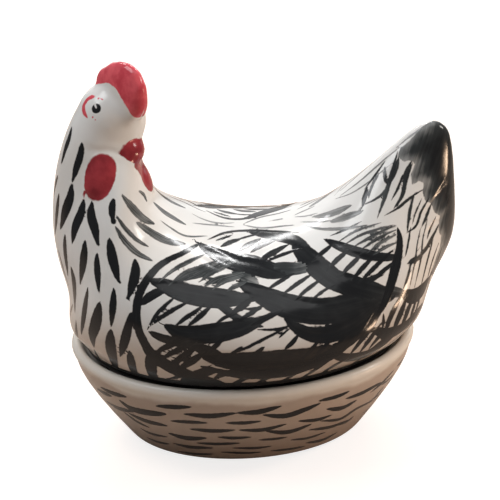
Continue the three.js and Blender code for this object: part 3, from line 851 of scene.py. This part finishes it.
def hen_material():
    material = bpy.data.materials.new("hen_painted_glaze")
    graph = Graph(material)
    place = graph.separate()
    height = graph.add(place["Z"], graph.waver(PATCH_HEIGHT, *PATCHES))
    upper = graph.mix(graph.ramp(graph.noise(*MOTTLE), 0.3, 0.75), *GLAZE_WHITES)
    # Painted shade: the glaze darker and browner low down and towards the tail
    tailwards = graph.ramp(place["X"], *BREAST_TO_TAIL)
    lower = graph.mix(tailwards, PAINTED_SHADE_AT_BREAST, PAINTED_SHADE_AT_TAIL)
    base = graph.mix(graph.ramp(height, *BELLY_SHADE_HEIGHTS), lower, upper)
    # Painted shade: the slip's thin parts turn darker and warmer low down
    low = graph.ramp(height, *LOW_SHADE_HEIGHTS)
    washed, wash_body = brushed(graph, base, "wash", low, WASH_STAIN, *WASH_BRUSH)
    bare = graph.ramp(wash_body, 0, 1, INK_STAIN, 0)
    inked, ink_body = brushed(graph, washed, "ink", low, bare, *INK_BRUSH)
    red_edge = graph.waver(RED_EDGE_WAVER, *RED_EDGE_GRAIN)
    brushing = graph.ramp(graph.noise(*RED_BRUSHING), 0.3, 0.7)
    shaded_red = graph.mix(brushing, *RED_IN_PAINTED_SHADE)
    lit_red = graph.mix(brushing, *RED_IN_PAINTED_LIGHT)
    # The red painted darker low down and lighter up at the comb: painted shade and painted light
    red = graph.mix(graph.ramp(height, *WATTLE_TO_COMB), shaded_red, lit_red)
    red_body = graph.ramp(graph.add(graph.attribute("red_depth"), red_edge), *RED_DEPTHS)
    colour = graph.mix(red_body, inked, red)
    glazed(graph, colour, graph.add(ink_body, red_body), HEN_ROUGHNESS)
    return material


def dish_material():
    material = bpy.data.materials.new("dish_painted_glaze")
    graph = Graph(material)
    level = graph.add(graph.separate()["Z"], graph.waver(DISH_PATCH_HEIGHT, *DISH_PATCHES))
    # Painted shade: the wall darker and browner towards the foot
    shaded_wall = graph.mix(graph.ramp(level, *DISH_WALL_SHADE_HEIGHTS), DISH_WALL_SHADE_AT_FOOT, DISH_WALL_SHADE_AT_RIM)
    base = graph.mix(graph.ramp(level, *RIM_HEIGHTS), shaded_wall, RIM_GLAZE)
    # The dish's thin slip takes half of that painted warm shade
    inked, ink_body = brushed(graph, base, "ink", 0.5, INK_STAIN, *DISH_BRUSH)
    glazed(graph, inked, ink_body, DISH_ROUGHNESS)
    return material


# The head, in a frame of its own: forward towards the beak, across, and up. Borders are in pixels.
COMB_BORDER = [
    (97, 84.5), (100, 83.6), (105, 82.8), (109, 83.5), (113, 86), (117, 90.5), (120, 96),
    (123, 101.5), (127, 108), (130, 113), (133.5, 117), (137, 118.3), (140.5, 117.2), (143, 112.5),
    (145, 107), (152, 98), (158, 60), (90, 50), (88, 84),
]
BEAK_BORDER = [
    (120.8, 154.4), (121.3, 151), (123.3, 147.2), (126, 143.6), (129.5, 140.7), (134.2, 138.6),
    (140, 137.6), (150, 137), (152, 164), (139.2, 164.4), (135.8, 164.4), (130.8, 161.9),
    (125.8, 158.8), (122, 156.2),
]
FAR_WATTLE_BORDER = [
    (132.5, 165), (136, 162), (145, 157), (152, 172), (158, 184), (155, 188.5), (149.2, 185.6),
    (145, 181), (140, 174.6), (135.8, 168.8),
]
WATTLE_MARGIN = 7 * MM
BEAK_START = 13.4 * MM
BEAK_HEIGHT = 196.4 * MM
BEAK_RADIUS = 10.5 * MM
BEAK_LENGTH = 12 * MM
BEAK_BREADTH_SHARE = 1.14
BEAK_TAPER = 1.35
BEAK_DROP = 4 * MM
BEAK_EDGE = 0.5 * MM
WATTLE_LEAN = radians(25)
WATTLE_TILT = radians(9)
WATTLE_POWER = 2.3
# (turn from the beak in degrees, distance out, height, radii) in millimetres, the far one last
WATTLES = [
    (-54, 25.1, 185.3, (9, 9.3, 14.2)),
    (36, 15.6, 179.6, (12, 10.6, 13.8)),
]
# How far round the red parts the surface is smoothed less
HEAD_FADE = 3 * MM
HEAD_FADE_START = 1.5


def turned(places, angle):
    """Places in a frame turned about the upright axis."""
    x, y, z = places.T
    return np.stack([*spun(x, y, angle), z], axis=1)


def near_side_of_head(places):
    """Places as they are on the side of the face that is seen."""
    head = turned(places - NECK_AXIS, HEAD_TURN)
    head[:, 1] = -np.abs(head[:, 1])
    return turned(head, -HEAD_TURN) + NECK_AXIS


def beak_depth(head):
    """How far places in the head's frame lie inside the beak."""
    droop = atan2(BEAK_DROP, BEAK_LENGTH)
    along, up = spun(head[:, 0] - BEAK_START, head[:, 2] - BEAK_HEIGHT, -droop)
    share = unit(along / BEAK_LENGTH)
    radius = BEAK_RADIUS * np.sqrt(1 - share**2) ** BEAK_TAPER
    return np.minimum(radius + BEAK_EDGE - np.hypot(head[:, 1] / BEAK_BREADTH_SHARE, up), along)


def wattle_depth(head, turn, forward, up, radii):
    """How far places in the head's frame lie inside a wattle."""
    tilt = WATTLE_TILT if turn > 0 else -WATTLE_TILT
    out, side, rise = (turned(head, radians(turn)) - np.array((forward, 0, up)) * MM).T
    out, rise = spun(out, rise, WATTLE_LEAN)
    own = np.stack([out, *spun(side, rise, tilt)], axis=1)
    scaled = np.linalg.norm(own / (np.array(radii) * MM), ord=WATTLE_POWER, axis=1)
    return (1 - scaled) * min(radii) * MM


def red_depth(places):
    """How far places lie inside the comb, the beak or a wattle."""
    head = turned(places - NECK_AXIS, HEAD_TURN)
    pixels = pixels_of(near_side_of_head(places))
    comb = border_depth(pixels, COMB_BORDER)
    beak = np.where(head[:, 0] > 0, border_depth(pixels, BEAK_BORDER), OUTSIDE)
    red = np.where(head[:, 2] > HEN_ZERO + HEN_RISE / 2, comb, OUTSIDE)
    wattles = [wattle_depth(head, *row) for row in WATTLES]
    throat = border_depth(pixels_of(places), FAR_WATTLE_BORDER)
    throat = np.minimum(throat, wattles[-1] + WATTLE_MARGIN)
    return np.maximum.reduce([red, beak, beak_depth(head), *wattles, throat])


def eye_centre(tree):
    return tree.ray_cast(CAMERA, pixel_ray(*EYE_PUPIL[:2]))[0]


def eye_paint(tree, places, facing):
    """Depths inside the black and the red of the eyes, alike on both sides."""
    seen = near_side_of_head(places)
    glint, arc = Layer(seen, facing), Layer(seen, facing)
    glint.lay(*painted_path(tree, EYE_GLINT, line), 1, 0)
    lay_rows(arc, tree, [EYE_ARC, *EYE_TICKS, WATTLE_DRIP], line, 1)
    centre = eye_centre(tree)
    away = np.linalg.norm(seen - np.array(centre), axis=1)
    pupil = size_of_pixels(EYE_PUPIL[2], centre) - away
    return np.maximum(np.minimum(pupil, -glint.depth), OUTSIDE), arc.depth


# The hen

HEN_VOXEL = 1.25 * MM
SMOOTHING = 0.5
HEAD_SMOOTHING_LESS = 0.38
HEN_ROUNDS = 30
INSIDE_RATIO = 0.6
EYE_REACH = 9.5 * MM
# The belly's lower lip
LIP_START = 71.8 * MM
LIP_RISE = 0.9 * MM
LIP_END = 92 * MM
LIP_REACH = 4 * MM
LIP_HALF_WIDTH = 75 * MM
# The wash at the tail's tip
TAIL_START = 60 * MM
TAIL_EDGE_TONE = 0.36
TAIL_ADDED_TONE = 0.46
TAIL_TONE_DEPTH = 11 * MM
TAIL_STREAK_LEAN = 0.4
# The black band round the foot, which drops towards the ends: paint, and painted shade for the dark
# gap between the hen and the rim
BAND_HALF_LENGTH = 98 * MM
BAND_HALF_WIDTH = 71 * MM
BAND_TOP = 76.6 * MM
BAND_DROP = 5 * MM
BAND_REACH = 100 * MM
BAND_POWER = 4
FULL_TONE = 1.0
PUPIL_TONE = 1.1
# (coat, rows, profile, tone, how the strokes are cast, thinning)
HEN_PAINT = [
    ("ink", NECK_DABS, dab, FULL_TONE),
    ("ink", BREAST_DABS, dab, FULL_TONE, front_path),
    ("ink", THROAT_STROKES, leaf, 0.5),
    ("ink", BACK_STROKES, leaf, 0.38),
    ("wash", WING_SMEARS, leaf, 0.62, painted_path, 0.5),
    ("wash", WING_FEATHERS, leaf, 0.84, painted_path, 0.2),
    ("ink", WING_OUTLINE, leaf, 0.9),
    ("ink", WING_HATCH, hatch, 0.82),
    # Hatching painted pale as a painted highlight
    ("ink", WING_HATCH_PAINTED_SHEEN, hatch, 0.52),
    ("ink", TAIL_STROKES, hatch, 0.66),
    ("ink", RUMP_STROKES, hatch, 0.66, back_path),
]


def lipped(places, outer):
    """Places with the belly's lower edge drawn out over the rim on both long sides."""
    height = places[:, 2]
    rise = unit((height - LIP_START) / LIP_RISE)
    fall = unit((LIP_END - height) / (LIP_END - LIP_START)) ** 2
    share = unit(np.abs(places[:, 1]) / LIP_HALF_WIDTH) ** 2
    moved = places.copy()
    moved[:, 1] += np.where(outer, np.sign(places[:, 1]) * LIP_REACH * rise * fall * share, 0)
    return moved


def relieved(places, facing, seen, seen_facing, tree, outer):
    """Places set in below each moulded feather edge and along each crease."""
    sunk, raised = np.zeros((2, len(places)))

    def measured_line(row, half):
        layer = Layer(seen, seen_facing)
        path, halves = painted_path(tree, [1, *row], line)
        layer.lay(path, np.full(len(halves), half), 1, 0)
        return layer, np.linalg.norm(path[-1] - path[0])

    for row in FEATHER_EDGES:
        edge, length = measured_line(row, FEATHER_FADE)
        apart = FEATHER_FADE - edge.depth
        below = np.where(edge.across < 0, apart, 0)
        step = unit(1 - below / FEATHER_FADE) ** 2
        step *= 1 - np.exp(-(below / FEATHER_CREST) ** 2)
        along = unit(edge.along / length)
        fade = unit(np.minimum(along, 1 - along) / FEATHER_END_SHARE)
        near = fade * (edge.depth > OUTSIDE)
        ridge = FEATHER_RIDGE_SHARE * np.exp(-((apart / FEATHER_CREST) ** 2))
        sunk = np.maximum(sunk, step * near)
        raised = np.maximum(raised, ridge * near)
    for row in CREASES:
        crease, _ = measured_line(row, 0)
        groove = np.exp(-((crease.depth / CREASE_HALF) ** 2))
        sunk = np.maximum(sunk, groove * (crease.depth > OUTSIDE))
    height = np.where(outer, raised - sunk, 0) * FEATHER_STEP
    return places + facing * height[:, None]


def paint_hen(mesh, tree, places, facing, seen, seen_facing, outer):
    """Stores the hen's coats of slip and her red as attributes."""
    coats = {name: Coat(mesh, seen, seen_facing) for name in ("wash", "ink")}
    for coat, *how in HEN_PAINT:
        lay_rows(coats[coat], tree, *how)
    ink = coats["ink"].points
    for radius, x, y in DROPS:
        place = tree.ray_cast(CAMERA, pixel_ray(x, y))[0]
        away = np.linalg.norm(seen - np.array(place), axis=1)
        ink.cover(size_of_pixels(radius, place) - away, FULL_TONE)
    tail = border_depth(pixels_of(seen), TAIL_WASH)
    tail = np.where(seen[:, 0] > TAIL_START, tail, OUTSIDE)
    tone = TAIL_EDGE_TONE + TAIL_ADDED_TONE * unit(tail / TAIL_TONE_DEPTH)
    along = seen[:, 2] + TAIL_STREAK_LEAN * seen[:, 0]
    across = seen[:, 0] - TAIL_STREAK_LEAN * seen[:, 2]
    coats["wash"].points.cover(tail, tone, along, across)
    # The black foot band: paint, and painted shade for the gap above the rim
    out = np.hypot(places[:, 0] / BAND_HALF_LENGTH, places[:, 1] / BAND_HALF_WIDTH) > 1
    top = BAND_TOP - BAND_DROP * (np.abs(places[:, 0]) / BAND_REACH) ** BAND_POWER
    ink.cover(np.where(out, top - places[:, 2], OUTSIDE), FULL_TONE)
    black, red = eye_paint(tree, places, facing)
    ink.cover(black, PUPIL_TONE)
    hidden = ~outer & (places[:, 2] > FOOT_CUT)
    for name, coat in coats.items():
        coat.store(name, hidden)
    red = np.maximum(red_depth(places), red)
    red[~outer] = OUTSIDE
    store(mesh, "red_depth", red)


def make_hen():
    hen = fine_copy("hen_lid", "hen_lid_glazed", HEN_VOXEL)
    mesh = hen.data
    places = coordinates(mesh)
    head_share = unit(red_depth(places) / HEAD_FADE + HEAD_FADE_START)
    weights = SMOOTHING - HEAD_SMOOTHING_LESS * head_share
    places = smoothed(places, edges(mesh), weights, HEN_ROUNDS)
    outer = outer_shell(mesh, places)
    places = lipped(places, outer)
    move_to(mesh, places)
    thinned(hen, ~outer & (places[:, 2] > FOOT_CUT), INSIDE_RATIO)
    mesh = hen.data
    tree = tree_of(mesh, coordinates(mesh))
    middles = coordinates(mesh)[edges(mesh)].mean(1)
    from_eye = near_side_of_head(middles) - np.array(eye_centre(tree))
    refine(mesh, np.linalg.norm(from_eye, axis=1) < EYE_REACH)
    places = coordinates(mesh)
    outer = outer_shell(mesh, places)
    facing = normals(mesh)
    seen = mirrored(places, places)
    seen_facing = mirrored(facing, places)
    places = relieved(places, facing, seen, seen_facing, tree, outer)
    move_to(mesh, places)
    paint_hen(mesh, tree, places, facing, seen, seen_facing, outer)
    finished(mesh, hen_material())
    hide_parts("hen_lid")
    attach(hen, "lid")


# The dish

DISH_VOXEL = 1.25 * MM
DISH_ROUNDS = 16
DISH_PAINT = [
    (DISH_DASHES, painted_path),
    (DISH_END_DASHES, front_path),
    ([*DISH_END_DASHES, *DISH_TAIL_END_DASHES], back_path),
]


def make_dish():
    dish = fine_copy("nest_dish", "nest_dish_glazed", DISH_VOXEL)
    mesh = dish.data
    weights = np.full(len(mesh.vertices), SMOOTHING)
    places = smoothed(coordinates(mesh), edges(mesh), weights, DISH_ROUNDS)
    tree = tree_of(mesh, places)
    ink = Coat(mesh, mirrored(places, places), mirrored(normals(mesh), places))
    for rows, cast in DISH_PAINT:
        lay_rows(ink, tree, rows, leaf, FULL_TONE, cast)
    ink.store("ink", np.zeros(len(places), bool))
    finished(mesh, dish_material())
    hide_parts("nest_dish")
    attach(dish, "dish")


make_hen()
make_dish()


# Stage: a plain pale floor, soft lamps, and a white surround

FLOOR_HALF = 3.0
FLOOR_GLOW = 0.8
FLOOR_MIRRORED_GLOW = 0.02
SURROUND_LIGHT = 0.2
SURROUND_WHITE = 1.0
# (name, place, what it is turned to, size, watts, colour) in metres
LAMPS = [
    ("top_back", (0.1, 0.95, 1.15), (0, 0, 0.12), (1.5, 0.08), 13.5),
    ("overhead", (0.1, -0.25, 1.4), (0, 0, 0.1), (0.9, 0.7), 2.2),
    ("top_left", (-0.65, -0.1, 1.25), (0, 0, 0.16), (0.6, 0.6), 6.6, (0.94, 0.97, 1)),
    ("right", (1.05, -0.15, 0.9), (0.05, 0, 0.1), (0.3, 0.3), 4.6, (1, 0.95, 0.88)),
    ("low_right", (0.9, -0.35, 0.1), (0.06, -0.03, 0.04), (0.28, 0.05), 2.2, (1, 0.7, 0.48)),
    ("behind", (0.3, 1.5, 0.55), (0, 0, 0.1), (2.6, 0.9), 6.0),
]


def add_floor():
    mesh = bpy.data.meshes.new("floor")
    corners = (-1, -1, 0), (1, -1, 0), (1, 1, 0), (-1, 1, 0)
    mesh.from_pydata(np.multiply(corners, FLOOR_HALF), [], [(0, 1, 2, 3)])
    floor = new_object("floor", mesh)
    material = bpy.data.materials.new("floor_pale")
    graph = Graph(material)
    shade = graph.ramp(graph.noise(*FLOOR_GRAIN), 0.2, 0.8)
    path = graph.node("LightPath").outputs
    mirrored = graph.most(path["Is Glossy Ray"], path["Is Transmission Ray"])
    direct = graph.times(path["Is Camera Ray"], FLOOR_GLOW)
    strength = graph.most(direct, graph.times(mirrored, FLOOR_MIRRORED_GLOW))
    diffuse = graph.node("BsdfDiffuse", {"Color": graph.mix(shade, *FLOOR_TONES)})
    glow = graph.node("Emission", {"Strength": strength})
    both = graph.node("AddShader", {0: diffuse.outputs[0], 1: glow.outputs[0]})
    graph.surface(both)
    mesh.materials.append(material)


def add_lamp(name, place, aim, size, watts, colour=(1, 1, 1)):
    data = bpy.data.lights.new(name, "AREA")
    data.shape = "RECTANGLE"
    data.size, data.size_y = size
    data.energy = watts
    data.color = colour
    lamp = new_object(name, data)
    lamp.location = place
    lamp.rotation_euler = (Vector(aim) - Vector(place)).to_track_quat("-Z", "Y").to_euler()


def add_world():
    world = bpy.data.worlds.new("surround")
    bpy.context.scene.world = world
    graph = Graph(world)
    path = graph.node("LightPath").outputs
    seen = graph.most(path["Is Camera Ray"], path["Is Transmission Ray"])
    strength = graph.ramp(seen, 0, 1, SURROUND_LIGHT, SURROUND_WHITE)
    background = graph.node("Background", {"Strength": strength})
    graph.surface(background, "OutputWorld")


add_floor()
add_world()
for lamp in LAMPS:
    add_lamp(*lamp)

bpy.context.scene.view_settings.view_transform = "Standard"
